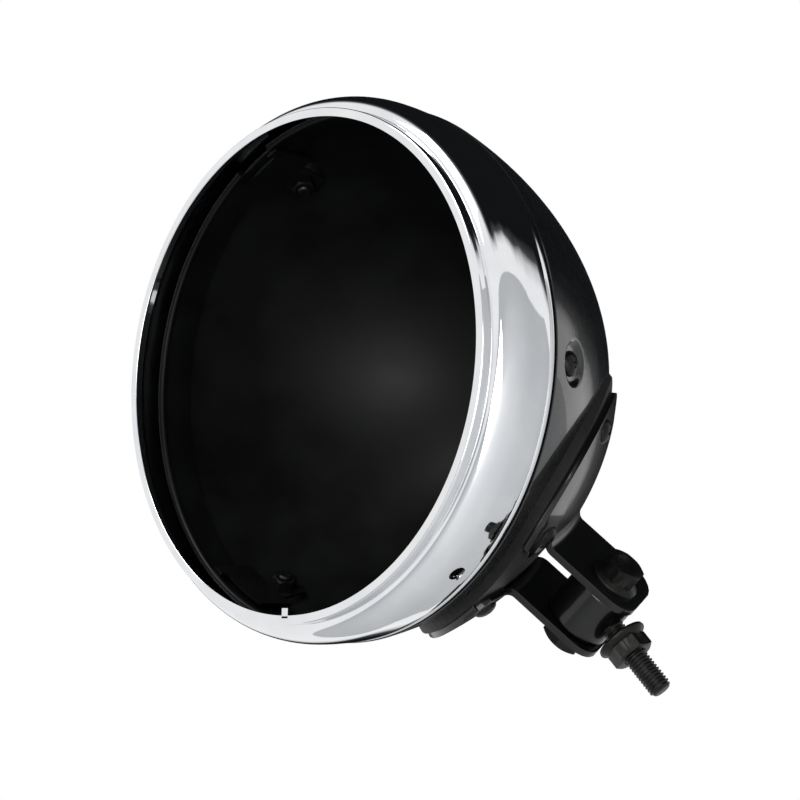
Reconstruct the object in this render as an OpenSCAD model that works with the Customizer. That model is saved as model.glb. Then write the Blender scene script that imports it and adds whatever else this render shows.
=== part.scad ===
// Round motorcycle headlight housing: a black steel bowl with a chromed trim ring,
// held by two ear brackets on a tilting knuckle with a stud.
// The origin is on the stud's axis where its free thread starts, under the nut.
// The lamp faces -Y, +Z is up.
// Lengths are in millimetres and angles in degrees.

/* [Bowl] */
// Step from the trim ring's widest radius in to the bowl's outside behind it
bowl_step = 0.58; // [0.4:0.02:1]
// Depth of the bowl's closed end behind the plane of the opening
bowl_depth = 126.4; // [120:0.2:140]
// Distance of the ellipse's centre ahead of the plane of the opening
bowl_ahead = 14.4; // [12:0.2:16]
// Thickness of the bowl's sheet steel
bowl_sheet = 1.2; // [1:0.1:1.5]
// Radius of the rolled bead at the bowl's front edge
bead_radius = 1.4; // [1.2:0.1:1.6]
// Diameter of the hole for the wires at the back
wire_hole_d = 16; // [12:0.5:18]

/* [Trim ring] */
// Widest radius of the ring
ring_radius = 95.2; // [93:0.1:97]
// Width of the ring from its widest radius in to the opening
ring_width = 9.6; // [9:0.1:10.2]
// Length of the ring from front to back
ring_length = 28.3; // [27.9:0.1:28.5]
// Thickness of the ring's sheet
ring_sheet = 0.9; // [0.7:0.1:1]
// Width of the rolled hem at the ring's rear edge
hem_width = 2.7; // [2.2:0.1:3.2]
// Diameter of the screw hole at the bottom of the ring
ring_hole_d = 5.8; // [5:0.1:6.4]

/* [Retaining clips] */
// Distance of the clip screws behind the plane of the opening
clip_back = 42; // [41:0.5:44]
// Angle of the first clip, seen from the front and counted from +X
clip_angle = 77; // [74:1:80]
// Diameter of the round dimple around each clip screw
dimple_d = 13; // [12.6:0.1:13.4]
// Depth of the dimple
dimple_depth = 2; // [1.8:0.1:2.2]

/* [Bracket] */
// Thickness of the bracket plates
plate = 2.5; // [2:0.1:3]
// Thickness of the mount pad at its front edge
pad_front = 4; // [3.6:0.1:4.4]
// Thickness of the mount pad at its rear edge
pad_rear = 1.5; // [1.2:0.1:2]
// Radius of the wing's round outline, seen from below
wing_radius = 37.4; // [36:0.2:38]
// Distance of that outline's centre from the middle of the lamp
wing_side = 17; // [16:0.2:18]
// Distance of that outline's centre behind the plane of the opening
wing_back = 75; // [74.6:0.2:76]
// Distance of the wing's rear edge behind the plane of the opening
wing_rear = 88; // [87:0.2:89]
// Distance between the ears
ear_gap = 18.7; // [18.4:0.1:19]
// Lean of the ears toward the back
ear_lean = 28.5; // [26:0.5:30]
// Width of an ear ahead of the tilt bolt
ear_front = 13.2; // [12.6:0.2:14]
// Width of an ear behind the tilt bolt
ear_rear = 18.9; // [18:0.1:19.4]
// Length of an ear past the tilt bolt
ear_end = 12.2; // [12:0.1:13]

/* [Tilt joint and stud] */
// Distance of the tilt bolt behind the plane of the opening
bolt_back = 78.8; // [78:0.2:80]
// Distance of the tilt bolt under the bowl
bolt_below = 30.6; // [30:0.2:33]
// Diameter of the tilt bolt
bolt_d = 8; // [7:0.1:8]
// Distance of the stud nut's upper face from the tilt bolt
nut_drop = 16; // [15.8:0.1:18]
// Radius of the knuckle's round head
knuckle_radius = 11.8; // [11:0.1:12]
// Play between the knuckle and each ear
knuckle_play = 0.2; // [0.1:0.05:0.3]
// Lean of the stud toward the back
stud_lean = 8.6; // [6:0.2:10]
// Diameter of the stud
stud_d = 8; // [6:0.1:8]
// Length of the stud below the nut's upper face
stud_length = 22.8; // [20:0.2:38]
// Height of the stud nut
stud_nut_h = 8; // [7.6:0.1:8.4]
// Width across the flats of the tilt nut
tilt_nut_flats = 14; // [13:0.1:14.5]
// Width across the flats of the stud nut and the tilt bolt's head
flange_flats = 13; // [12:0.1:13.4]
// Diameter of their flanges
flange_d = 17.9; // [16.5:0.1:18.2]

/* [Small screws] */
// Diameter of the screws that hold the brackets and the clips
screw_d = 5; // [4.6:0.1:5]
// Diameter of their round heads
head_d = 8.6; // [8:0.1:8.8]
// Height of their heads
head_h = 2.4; // [2:0.1:2.8]
// Width across the flats of their nuts
nut_flats = 8; // [7.6:0.1:8]
// Height of their nuts
nut_h = 4; // [3.2:0.1:4.2]

/* [Hidden] */
$fn = 96;
black = "#1c1c1d";
chrome = "#d9dbdd";
rubber = "#262626";
steel = "#3a3a3a";
eps = 0.02;
far = 200;

// The bowl's outside is an ellipse turned about the lamp's axis. It comes out of the ring's
// rear edge a small step in from the ring, and closes at its depth.
opening_radius = ring_radius - ring_width;
bowl_axis = bowl_depth + bowl_ahead;
rim_gap = 0.45;
rim_back = ring_length + rim_gap;
bowl_radius = (ring_radius - bowl_step) / sqrt(1 - pow((rim_back + bowl_ahead) / bowl_axis, 2));
steps = 36;
first_turn = asin((rim_back + 0.5 + bowl_ahead) / bowl_axis);
function turn(i) = first_turn + (90 - first_turn) * i / steps;
function back_at(i) = bowl_axis * sin(turn(i)) - bowl_ahead;
function bowl_r(y) = bowl_radius * sqrt(1 - pow((y + bowl_ahead) / bowl_axis, 2));
function bowl_slope(y) = atan2((y + bowl_ahead) / pow(bowl_axis, 2), bowl_r(y) / pow(bowl_radius, 2));

// The pad grows thinner toward the back, and the plates lie on it.
pad_start = 38;
pad_stop = 90;
function pad_h(y) = pad_front - (pad_front - pad_rear) * (y - pad_start) / (pad_stop - pad_start);
function layer_r(layer, y) = bowl_r(y) + (layer > 0 ? pad_h(y) : 0) + (layer > 1 ? plate : 0);
band_steps = 24;

// Places of the tilt bolt and of the lamp's axis in the part's frame
relief_w = 0.5;
relief_depth = 0.6;
free_start = stud_nut_h + relief_w;
bolt_y = -(nut_drop + free_start) * sin(stud_lean);
bolt_z = (nut_drop + free_start) * cos(stud_lean);
bolt_drop = bowl_r(bolt_back) + bolt_below;
ear_out = ear_gap / 2 + plate;
knuckle_half = ear_gap / 2 - knuckle_play;

// The rim that the ring slides over
hem_depth = 3.2;
hem_inner = ring_radius - hem_depth;
rim_radius = hem_inner;
rim_front = 15;
bead_back = rim_front + bead_radius;

// Screw places: the distance from the middle of the lamp, and behind the opening
tip_screw_side = 48.4;
tip_screw_back = 65.5;
inner_screw_side = 18;
inner_screw_back = 46;
spot = 0.5;
spot_margin = 1;
nut_spot = 0.2;
fit = 0.02;
hole_play = 0.4;

// Clip sizes: the base lies under the dimple, and a step leads down to the strip,
// which passes inside the rolled bead
clip_sheet = 1;
clip_play = 0.3;
clip_r = rim_radius - 2 * bead_radius - clip_play - clip_sheet;
clip_front = 20;
finger_front = 16.8;
clip_half = 6;
clip_lap = 0.4;
floor_lift = -dimple_depth - bowl_sheet;
step_slope = bowl_slope(clip_back);
step_end = clip_back + floor_lift * sin(step_slope) - clip_half * cos(step_slope);
step_r = bowl_r(clip_back) + floor_lift * cos(step_slope) + clip_half * sin(step_slope);

// Frame whose z axis runs back along the lamp's axis and whose y axis points down
module lamp() {
    translate([0, bolt_y - bolt_back, bolt_z + bolt_drop])
        rotate([-90, 0, 0])
            children();
}

// Frame of the ears, with its origin at the tilt bolt and -z along the ears
module ears() {
    translate([0, bolt_y, bolt_z])
        rotate([ear_lean, 0, 0])
            children();
}

// Frame of the knuckle, with its origin at the nut's upper face and -z along the stud
module stem() {
    rotate([stud_lean, 0, 0])
        translate([0, 0, free_start])
            children();
}

// Frame on the bowl's outside at an angle and a distance back, with z along the normal
module on_bowl(angle, y) {
    rotate([0, 0, -angle])
        translate([bowl_r(y), 0, y])
            rotate([0, 90 - bowl_slope(y), 0])
                children();
}

// Extrudes a side outline, drawn in y and z, from x = from to x = to
module slab(from, to) {
    translate([from, 0, 0])
        rotate([90, 0, 90])
            linear_extrude(to - from)
                children();
}

// Extrudes an outline seen from below, drawn in x and the distance back
module below() {
    rotate([90, 0, 0])
        translate([0, 0, -far])
            linear_extrude(far)
                children();
}

// Solid of revolution between two layers over the bowl
module band(inner, outer) {
    rotate_extrude($fn = 180)
        polygon(concat(
            [for (i = [0:band_steps]) [layer_r(inner, back_at(i)), back_at(i)]],
            [for (i = [band_steps:-1:0]) [layer_r(outer, back_at(i)), back_at(i)]]));
}

module hexagon(flats, h) {
    cylinder(d = flats / cos(30), h = h, $fn = 6);
}

function arc(x, y, r, from, to, n) =
    [for (i = [0:n]) [x + r * cos(from + (to - from) * i / n), y + r * sin(from + (to - from) * i / n)]];

// Chromed trim ring: flat face, step, swept skirt and rolled hem
step_radius = ring_radius - 6.4;
step_back = 3.9;
skirt_back = 15;
groove_back = ring_length - hem_width;
module trim_ring() {
    outer = concat(
        [[opening_radius, 0]],
        arc(step_radius - 0.8, 0.8, 0.8, -90, 0, 5),
        [for (a = [90:-7.5:0]) [step_radius + 6.4 * cos(a), skirt_back - (skirt_back - step_back) * sin(a)]],
        [[ring_radius - 0.2, 20], [ring_radius - 0.8, groove_back - 0.2], [ring_radius - 1.15, groove_back],
         [ring_radius - 0.9, groove_back + 0.3], [ring_radius - 1.1, ring_length - 0.8],
         [ring_radius - 1.5, ring_length - 0.2]]);
    inner = [[ring_radius - 2, ring_length], [hem_inner + 0.3, ring_length], [hem_inner, ring_length - 0.3],
        [hem_inner, groove_back], [ring_radius - 2, groove_back - 0.4], [ring_radius - ring_sheet, 18]];
    inside_skirt = [for (a = [0:7.5:90])
        [step_radius + (6.4 - ring_sheet) * cos(a),
         skirt_back - (skirt_back - step_back - ring_sheet) * sin(a)]];
    color(chrome)
        lamp()
            difference() {
                union() {
                    rotate_extrude($fn = 180)
                        polygon(concat(outer, inner, inside_skirt,
                            [[step_radius - ring_sheet, step_back], [step_radius - ring_sheet, ring_sheet],
                             [opening_radius, ring_sheet]]));
                    ring_hook();
                }
                rotate([0, 0, 90])
                    translate([step_radius, 0, 17.9])
                        rotate([0, 90, 0])
                            cylinder(d = ring_hole_d, h = 20);
            }
}

// Small lug on the edge of the opening
hook_angle = -131;
hook_w = 3;
hook_h = 2.4;
module ring_hook() {
    rotate([0, 0, -hook_angle])
        translate([opening_radius - hook_h, -hook_w / 2, 0])
            cube([hook_h + 1, hook_w, ring_sheet]);
}

// Bowl with rolled front bead, clip dimples and a flat place for the grommet
grommet_ahead = 18.4;
grommet_back = bowl_depth - grommet_ahead;
grommet_angle = -90;
grommet_flat_d = 24;
grommet_flat_depth = 2.6;
flat_wall = grommet_flat_depth + bowl_sheet - 1.9;
clip_angles = [clip_angle, clip_angle + 120, clip_angle - 120];
module bowl() {
    color(black)
        lamp()
            difference() {
                union() {
                    bowl_shell();
                    for (angle = clip_angles)
                        on_bowl(angle, clip_back)
                            translate([0, 0, -dimple_depth - bowl_sheet])
                                cylinder(d = dimple_d + 2 * bowl_sheet, h = dimple_depth + bowl_sheet - 0.6);
                    on_bowl(grommet_angle, grommet_back)
                        translate([0, 0, -grommet_flat_depth - bowl_sheet])
                            cylinder(d = grommet_flat_d + 2 * bowl_sheet, h = flat_wall);
                }
                for (angle = clip_angles)
                    on_bowl(angle, clip_back) {
                        translate([0, 0, -dimple_depth])
                            cylinder(d = dimple_d, h = far);
                        translate([0, 0, -far / 4])
                            cylinder(d = screw_d + hole_play, h = far / 2);
                    }
                on_bowl(grommet_angle, grommet_back) {
                    translate([0, 0, -grommet_flat_depth])
                        cylinder(d = grommet_flat_d, h = far);
                    translate([0, 0, -far / 8])
                        cylinder(d = wire_hole_d, h = far / 4);
                }
                for (side = [-1, 1]) {
                    on_bowl(screw_angle(side, tip_screw_side, tip_screw_back), tip_screw_back)
                        nut_place();
                    on_bowl(screw_angle(side, inner_screw_side, inner_screw_back), inner_screw_back)
                        nut_place();
                }
                rim_notch(clip_angle - 1.5, 5.5, 3.2);
                rim_notch(-90, 4.5, 7);
            }
}

module bowl_shell() {
    outer = [for (i = [0:steps]) [bowl_radius * cos(turn(i)), back_at(i)]];
    inside_axis = bowl_axis - bowl_sheet;
    inside_first = asin((rim_back + bowl_sheet + bowl_ahead) / inside_axis);
    inner = [for (i = [steps:-1:0])
        let (a = inside_first + (90 - inside_first) * i / steps)
        [(bowl_radius - bowl_sheet) * cos(a), inside_axis * sin(a) - bowl_ahead]];
    edge = [[rim_radius - bowl_sheet, rim_back + bowl_sheet], [rim_radius - bowl_sheet, bead_back],
        [rim_radius, bead_back], [rim_radius, rim_back], [bowl_r(rim_back) - 1.2, rim_back],
        [bowl_r(rim_back) - 0.3, rim_back + 0.15]];
    rotate_extrude($fn = 180) {
        polygon(concat(outer, inner, edge));
        translate([rim_radius - bead_radius, bead_back])
            circle(r = bead_radius, $fn = 24);
    }
}

// Notch in the rim's front edge, given by its middle angle, half its angle and its depth
module rim_notch(angle, half, depth) {
    rotate([0, 0, -angle - half])
        rotate_extrude(angle = 2 * half, $fn = 180)
            translate([rim_radius - 5, 10])
                square([10, 5 + depth]);
}

// Hole and flat place inside the bowl for a bracket screw's nut
module nut_place() {
    translate([0, 0, -far / 8])
        cylinder(d = screw_d + hole_play, h = far / 4);
    translate([0, 0, -bowl_sheet + nut_spot - 10])
        cylinder(d = nut_flats / cos(30) + 1.2, h = 10);
}

// Rubber grommet in the wire hole
grommet_lip = 3;
module wire_grommet() {
    half = 1.8;
    hole = wire_hole_d / 2;
    sheet = bowl_sheet / 2;
    color(rubber)
        lamp()
            on_bowl(grommet_angle, grommet_back)
                translate([0, 0, -grommet_flat_depth - bowl_sheet / 2])
                    rotate_extrude()
                        polygon([[hole - 3, -sheet - half], [hole + grommet_lip, -sheet - half],
                            [hole + grommet_lip, -sheet], [hole, -sheet], [hole, sheet],
                            [hole + grommet_lip, sheet], [hole + grommet_lip - 0.6, sheet + half],
                            [hole - 3, sheet + half]]);
}

// Tapped tab inside the rim, behind the ring's screw hole
tab_sheet = 1.5;
tab_half_angle = 3.5;
module ring_tab() {
    outside = rim_radius - bowl_sheet;
    color(black)
        lamp()
            rotate([0, 0, 90])
                difference() {
                    rotate([0, 0, -tab_half_angle])
                        rotate_extrude(angle = 2 * tab_half_angle, $fn = 180)
                            translate([outside - tab_sheet, 13.5])
                                square([tab_sheet, 13.5]);
                    translate([outside - 10, 0, 17.9])
                        rotate([0, 90, 0])
                            cylinder(d = 4.2, h = 20);
                }
}

// Round outline of a wing seen from below, from its front to its rear edge, grown by a margin
wing_in = 10.6;
wing_corner = 4;
tip_corner = 12;
function wing_round(start, margin) =
    let (
        r = wing_radius + margin,
        rear = wing_rear + margin,
        tip_turn = asin((rear - tip_corner - wing_back) / (r - tip_corner)))
    concat(
        arc(wing_side, wing_back, r, start, 360 + tip_turn - 3, 18),
        arc(wing_side + (r - tip_corner) * cos(tip_turn), rear - tip_corner, tip_corner, tip_turn, 90, 8));

// Outline of the right wing, whose inner edge runs along the ear
function wing_outline() =
    let (
        r = wing_radius - wing_corner,
        in_x = wing_in + wing_corner,
        in_turn = asin((in_x - wing_side) / r))
    concat(
        [[wing_in, wing_rear]],
        arc(in_x, wing_back - r * cos(in_turn), wing_corner, 180, 270 + in_turn, 6),
        wing_round(270 + in_turn + 5, 0));

// Pad between the bowl and the brackets
pad_margin = 1.5;
module mount_pad() {
    right = wing_round(270, pad_margin);
    left = [for (i = [len(right) - 1:-1:0]) [-right[i][0], right[i][1]]];
    color(rubber)
        lamp()
            difference() {
                intersection() {
                    band(0, 1);
                    below()
                        polygon(concat(right, left));
                }
                bracket_holes();
            }
}

function screw_angle(side, x, y) = -90 + side * asin(x / layer_r(2, y));

module bracket_holes() {
    for (side = [-1, 1]) {
        on_bowl(screw_angle(side, tip_screw_side, tip_screw_back), tip_screw_back)
            translate([0, 0, -far / 8])
                cylinder(d = screw_d + hole_play, h = far / 4);
        on_bowl(screw_angle(side, inner_screw_side, inner_screw_back), inner_screw_back)
            translate([0, 0, -far / 8])
                cylinder(d = screw_d + hole_play, h = far / 4);
    }
}

// Height of the plate's outside over the bowl, along the bowl's normal
function plate_top(y) = (pad_h(y) + plate) * cos(bowl_slope(y)) - spot;

// One bracket: a wing formed over the pad and an ear bent down at its inner edge
module bracket(side) {
    from = side > 0 ? ear_gap / 2 : -ear_out;
    color(black)
        difference() {
            union() {
                lamp()
                    intersection() {
                        band(1, 2);
                        below()
                            mirror([side > 0 ? 0 : 1, 0])
                                polygon(wing_outline());
                    }
                ears()
                    slab(from, from + plate)
                        ear_outline();
            }
            lamp()
                rotate_extrude($fn = 180)
                    polygon(concat([[0, 20], [layer_r(1, back_at(0)), 20]],
                        [for (i = [0:band_steps]) [layer_r(1, back_at(i)), back_at(i)]],
                        [[0, back_at(band_steps)]]));
            lamp() {
                bracket_holes();
                on_bowl(screw_angle(side, tip_screw_side, tip_screw_back), tip_screw_back)
                    translate([0, 0, plate_top(tip_screw_back)])
                        cylinder(d = head_d + spot_margin, h = 10);
                on_bowl(screw_angle(side, inner_screw_side, inner_screw_back), inner_screw_back)
                    translate([0, 0, plate_top(inner_screw_back)])
                        cylinder(d = head_d + spot_margin, h = 10);
            }
            ears()
                rotate([0, 90, 0])
                    cylinder(d = bolt_d + hole_play, h = far, center = true);
        }
}

ear_top = 34;
front_corner = 8;
rear_corner = 11;
module ear_outline() {
    translate([-ear_front, rear_corner - ear_end])
        square([ear_front + ear_rear, ear_top]);
    translate([front_corner - ear_front, -ear_end])
        square([ear_front + ear_rear - front_corner - rear_corner, ear_end]);
    translate([-ear_front, front_corner - ear_end])
        square([front_corner, rear_corner - front_corner + 1]);
    translate([front_corner - ear_front, front_corner - ear_end])
        circle(r = front_corner);
    translate([ear_rear - rear_corner, rear_corner - ear_end])
        circle(r = rear_corner);
}

module bracket_right() {
    bracket(1);
}

module bracket_left() {
    bracket(-1);
}

// Round-headed screw with its head's underside at z = 0
screw_end = 1.2;
crown_h = 0.7;
crown_w = 1.2;
module screw(length) {
    cylinder(d = head_d, h = head_h - crown_h);
    translate([0, 0, head_h - crown_h])
        cylinder(d1 = head_d, d2 = head_d - 2 * crown_w, h = crown_h);
    translate([0, 0, -length])
        cylinder(d = screw_d, h = length + eps);
}

module nut(flats, h, bore) {
    difference() {
        hexagon(flats, h);
        translate([0, 0, -1])
            cylinder(d = bore, h = h + 2);
    }
}

module washer(d, h, bore) {
    difference() {
        cylinder(d = d, h = h);
        translate([0, 0, -1])
            cylinder(d = bore, h = h + 2);
    }
}

module bracket_screw(side, x, y) {
    color(black)
        lamp()
            on_bowl(screw_angle(side, x, y), y)
                translate([0, 0, plate_top(y)])
                    screw(plate_top(y) + bowl_sheet + nut_h + screw_end);
}

module bracket_nut(side, x, y) {
    color(steel)
        lamp()
            on_bowl(screw_angle(side, x, y), y)
                translate([0, 0, nut_spot - bowl_sheet - nut_h])
                    nut(nut_flats, nut_h, screw_d + 2 * fit);
}

module tip_screw_right() {
    bracket_screw(1, tip_screw_side, tip_screw_back);
}

module tip_screw_left() {
    bracket_screw(-1, tip_screw_side, tip_screw_back);
}

module inner_screw_right() {
    bracket_screw(1, inner_screw_side, inner_screw_back);
}

module inner_screw_left() {
    bracket_screw(-1, inner_screw_side, inner_screw_back);
}

module tip_nut_right() {
    bracket_nut(1, tip_screw_side, tip_screw_back);
}

module tip_nut_left() {
    bracket_nut(-1, tip_screw_side, tip_screw_back);
}

module inner_nut_right() {
    bracket_nut(1, inner_screw_side, inner_screw_back);
}

module inner_nut_left() {
    bracket_nut(-1, inner_screw_side, inner_screw_back);
}

// Retaining clip inside the bowl: a base under the dimple, a step, a curved strip and a finger
strip_w = 26;
finger_w = 5;
module clip(angle) {
    color(black)
        lamp()
            difference() {
                union() {
                    on_bowl(angle, clip_back)
                        translate([-clip_half, -clip_half, floor_lift - clip_sheet])
                            cube([2 * clip_half, 2 * clip_half, clip_sheet]);
                    intersection() {
                        clip_step();
                        across(angle, -clip_half, clip_half, finger_front);
                    }
                    intersection() {
                        clip_strip();
                        union() {
                            across(angle, -strip_w / 2, strip_w / 2, clip_front);
                            across(angle, strip_w / 2 - finger_w, strip_w / 2, 0);
                        }
                    }
                }
                on_bowl(angle, clip_back)
                    translate([0, 0, -far / 8])
                        cylinder(d = screw_d + hole_play, h = far / 4);
            }
}

// Step of a clip, turned all the way round: it rises from the strip to the base's front end
module clip_step() {
    front = step_end - clip_sheet;
    lap_r = step_r - clip_lap * tan(step_slope);
    rotate_extrude($fn = 180)
        polygon([[clip_r, front], [step_r, front], [step_r, step_end],
            [lap_r, step_end + clip_lap], [clip_r, step_end + clip_lap]]);
}

// Strip of a clip, turned all the way round
module clip_strip() {
    rotate_extrude($fn = 180)
        translate([clip_r, finger_front])
            square([clip_sheet, step_end - finger_front]);
}

// Block at an angle that keeps what lies between two sides, behind a distance back
module across(angle, from, to, back) {
    rotate([0, 0, -angle])
        translate([clip_r / 2, from, back])
            cube([clip_r, to - from, far]);
}

module clip_screw(angle) {
    color(black)
        lamp()
            on_bowl(angle, clip_back)
                translate([0, 0, -dimple_depth])
                    screw(bowl_sheet + clip_sheet + nut_h + screw_end);
}

module clip_nut(angle) {
    color(steel)
        lamp()
            on_bowl(angle, clip_back)
                translate([0, 0, floor_lift - clip_sheet - nut_h])
                    nut(nut_flats, nut_h, screw_d + 2 * fit);
}

module clip_top() {
    clip(clip_angles[0]);
}

module clip_left() {
    clip(clip_angles[1]);
}

module clip_right() {
    clip(clip_angles[2]);
}

module clip_screw_top() {
    clip_screw(clip_angles[0]);
}

module clip_screw_left() {
    clip_screw(clip_angles[1]);
}

module clip_screw_right() {
    clip_screw(clip_angles[2]);
}

module clip_nut_top() {
    clip_nut(clip_angles[0]);
}

module clip_nut_left() {
    clip_nut(clip_angles[1]);
}

module clip_nut_right() {
    clip_nut(clip_angles[2]);
}

// Flange with a sloped top under a hexagon, standing on z = 0
flange_h = 1.5;
module flanged_hex(h) {
    cylinder(d = flange_d, h = flange_h);
    translate([0, 0, flange_h])
        cylinder(d1 = flange_d - 0.8, d2 = flange_flats, h = 1.2);
    hexagon(flange_flats, h);
}

// Hinge bolt through both ears and the knuckle, with its head on the +X side
tilt_head_h = 8;
tilt_washer_h = 1;
tilt_washer_d = 16;
tilt_nut_h = 5.6;
module tilt_bolt() {
    reach = 2 * ear_out + tilt_washer_h + tilt_nut_h;
    color(black)
        ears()
            translate([ear_out, 0, 0])
                rotate([0, 90, 0]) {
                    flanged_hex(tilt_head_h);
                    translate([0, 0, -reach])
                        cylinder(d = bolt_d, h = reach + eps);
                }
}

module tilt_washer() {
    color(black)
        ears()
            translate([-ear_out - tilt_washer_h, 0, 0])
                rotate([0, 90, 0])
                    washer(tilt_washer_d, tilt_washer_h, bolt_d + hole_play);
}

module tilt_nut() {
    color(black)
        ears()
            translate([-ear_out - tilt_washer_h - tilt_nut_h, 0, 0])
                rotate([0, 90, 0])
                    nut(tilt_nut_flats, tilt_nut_h, bolt_d + 2 * fit);
}

// Knuckle: a round block on the tilt bolt with rounded edges
knuckle_bore = bolt_d + 0.1;
knuckle_edge = 1.6;
stud_top = nut_drop - knuckle_bore / 2 - 2;
module knuckle() {
    x = knuckle_radius - knuckle_edge;
    y = knuckle_half - knuckle_edge;
    color(black)
        stem()
            difference() {
                translate([0, 0, nut_drop])
                    rotate([0, 90, 0])
                        rotate_extrude()
                            polygon(concat([[0, -knuckle_half]], arc(x, -y, knuckle_edge, -90, 0, 6),
                                arc(x, y, knuckle_edge, 0, 90, 6), [[0, knuckle_half]]));
                translate([0, 0, nut_drop])
                    rotate([0, 90, 0])
                        cylinder(d = knuckle_bore, h = far, center = true);
                cylinder(d = stud_d, h = stud_top);
            }
}

// Stud screwed into the knuckle, with a relief under the nut and a chamfered end
stud_chamfer = 1;
chamfer_w = 0.9;
module stud() {
    color(black)
        stem() {
            translate([0, 0, -stud_nut_h])
                cylinder(d = stud_d, h = stud_nut_h + stud_top);
            translate([0, 0, -free_start - eps])
                cylinder(d = stud_d - 2 * relief_depth, h = relief_w + 2 * eps);
            translate([0, 0, stud_chamfer - stud_length])
                cylinder(d = stud_d, h = stud_length - stud_chamfer - free_start);
            translate([0, 0, -stud_length])
                cylinder(d1 = stud_d - 2 * chamfer_w, d2 = stud_d, h = stud_chamfer);
        }
}

module stud_nut() {
    color(black)
        stem()
            rotate([180, 0, 0])
                difference() {
                    flanged_hex(stud_nut_h);
                    translate([0, 0, -1])
                        cylinder(d = stud_d + 2 * fit, h = stud_nut_h + 2);
                }
}

trim_ring();
bowl();
wire_grommet();
ring_tab();
mount_pad();
bracket_right();
bracket_left();
tip_screw_right();
tip_screw_left();
inner_screw_right();
inner_screw_left();
tip_nut_right();
tip_nut_left();
inner_nut_right();
inner_nut_left();
clip_top();
clip_left();
clip_right();
clip_screw_top();
clip_screw_left();
clip_screw_right();
clip_nut_top();
clip_nut_left();
clip_nut_right();
tilt_bolt();
tilt_nut();
tilt_washer();
knuckle();
stud();
stud_nut();
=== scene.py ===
import math

import bmesh
import bpy
from mathutils import Matrix, Vector

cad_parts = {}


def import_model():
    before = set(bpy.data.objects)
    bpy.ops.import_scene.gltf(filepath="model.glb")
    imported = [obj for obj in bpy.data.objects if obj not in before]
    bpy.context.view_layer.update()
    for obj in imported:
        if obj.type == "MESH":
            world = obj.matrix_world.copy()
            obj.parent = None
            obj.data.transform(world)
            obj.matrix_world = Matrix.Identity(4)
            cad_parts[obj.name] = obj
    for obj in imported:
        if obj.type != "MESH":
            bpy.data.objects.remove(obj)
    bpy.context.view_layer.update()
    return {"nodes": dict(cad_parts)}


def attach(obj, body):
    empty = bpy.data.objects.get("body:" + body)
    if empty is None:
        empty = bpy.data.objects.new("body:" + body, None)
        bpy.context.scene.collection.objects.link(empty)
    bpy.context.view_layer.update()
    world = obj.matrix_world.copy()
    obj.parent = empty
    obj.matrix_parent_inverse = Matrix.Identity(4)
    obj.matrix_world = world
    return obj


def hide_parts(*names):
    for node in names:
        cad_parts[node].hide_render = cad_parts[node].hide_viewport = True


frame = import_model()

# Lengths are in millimetres, as in the part's source, until a piece is put in its place.
# A distance back is measured from the lamp's front face.
MM = 0.001
CLOSE = 0.01

# The bowl, an ellipsoid of sheet steel with a rolled bead
BOWL_RADIUS = 99.403
BOWL_AHEAD = 14.4
BOWL_DEPTH = 126.4
BOWL_AXIS = BOWL_DEPTH + BOWL_AHEAD
SHEET = 1.2
RIM_RADIUS = 92.0
RIM_GAP = 0.45
BEAD = 1.4
BEAD_FRONT = 15
CUT_BACK = 18.3
TAB_BACK = 22
RIM_TURN = 24
CLIPS = ((77, "top"), (197, "left"), (-43, "right"))
CLIP_BACK = 42
DIMPLE_DEPTH = 2
GROMMET_BACK = 108.0
SKIN_REACH = 6

# The trim ring
OPENING = 85.6
RING_RADIUS = 95.2
RING_LENGTH = 28.3
STEP_WIDTH = 6.4
STEP_RADIUS = RING_RADIUS - STEP_WIDTH
SKIRT_START = 15
SKIRT_SWEEP = 11.1
RING_SHEET = 0.9
HEM_DEPTH = 2.7

# The pad, and the brackets with the wings' round outline and the ears along the tilt bolt
PAD_FRONT = 38
PAD_LENGTH = 52
PAD_THICK = 4
PAD_TAPER = 2.5
PLATE = 2.5
BEND = 2.6
RELIEF = 0.5
WING_X = 17
WING_BACK = 75
WING_RADIUS = 37.4
WING_END = 88
WING_CORNER = 12
WING_INSIDE = 10.6
NOSE_BACK = 43.5
NOSE_ROUND = 4
EAR_OUT = 11.85
EAR_FRONT = -13.2
EAR_REAR = 18.9
EAR_LOW = -12.2
EAR_FRONT_ROUND = 8
EAR_REAR_ROUND = 11

# The tilt bolt, the knuckle and the stud
BOLT_BACK = 78.8
BOLT_DROP = 30.6
TILT_LEAN = math.radians(28.5)
TILT_HEAD_H = 8
TILT_NUT_H = 5.6
TILT_NUT_FLATS = 14
TILT_WASHER_D = 16
TILT_WASHER_H = 1
TILT_WASHER_BORE = 8.4
NUT_BORE = 8.04
KNUCKLE_R = 11.8
KNUCKLE_HALF = 9.15
KNUCKLE_EDGE = 1.6
STUD_LEAN = math.radians(8.6)
STUD_D = 8
STUD_LENGTH = 28.8
STUD_TOP = 6
STUD_NUT_H = 8
FREE_START = 8.5
NUT_DROP = 16.0
REACH = NUT_DROP + FREE_START
BOLT = Vector((0, -REACH * math.sin(STUD_LEAN), REACH * math.cos(STUD_LEAN)))

# The small screws and their nuts
SCREW_NUT_FLATS = 8
SCREW_NUT_H = 4
SCREW_NUT_BORE = 5.04
SCREW_PAST_NUT = 1.2
SEAT_SINK = 0.5
NUT_LIFT = 0.2
CLIP_SHEET = 1


def bowl_r(back):
    """The bowl's outer radius at a distance back."""
    return BOWL_RADIUS * math.sqrt(max(0.0, 1 - ((back + BOWL_AHEAD) / BOWL_AXIS) ** 2))


def bowl_slope(back):
    """How far the bowl's outside leans back there, in radians."""
    return math.atan2((back + BOWL_AHEAD) / BOWL_AXIS**2, bowl_r(back) / BOWL_RADIUS**2)


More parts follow.
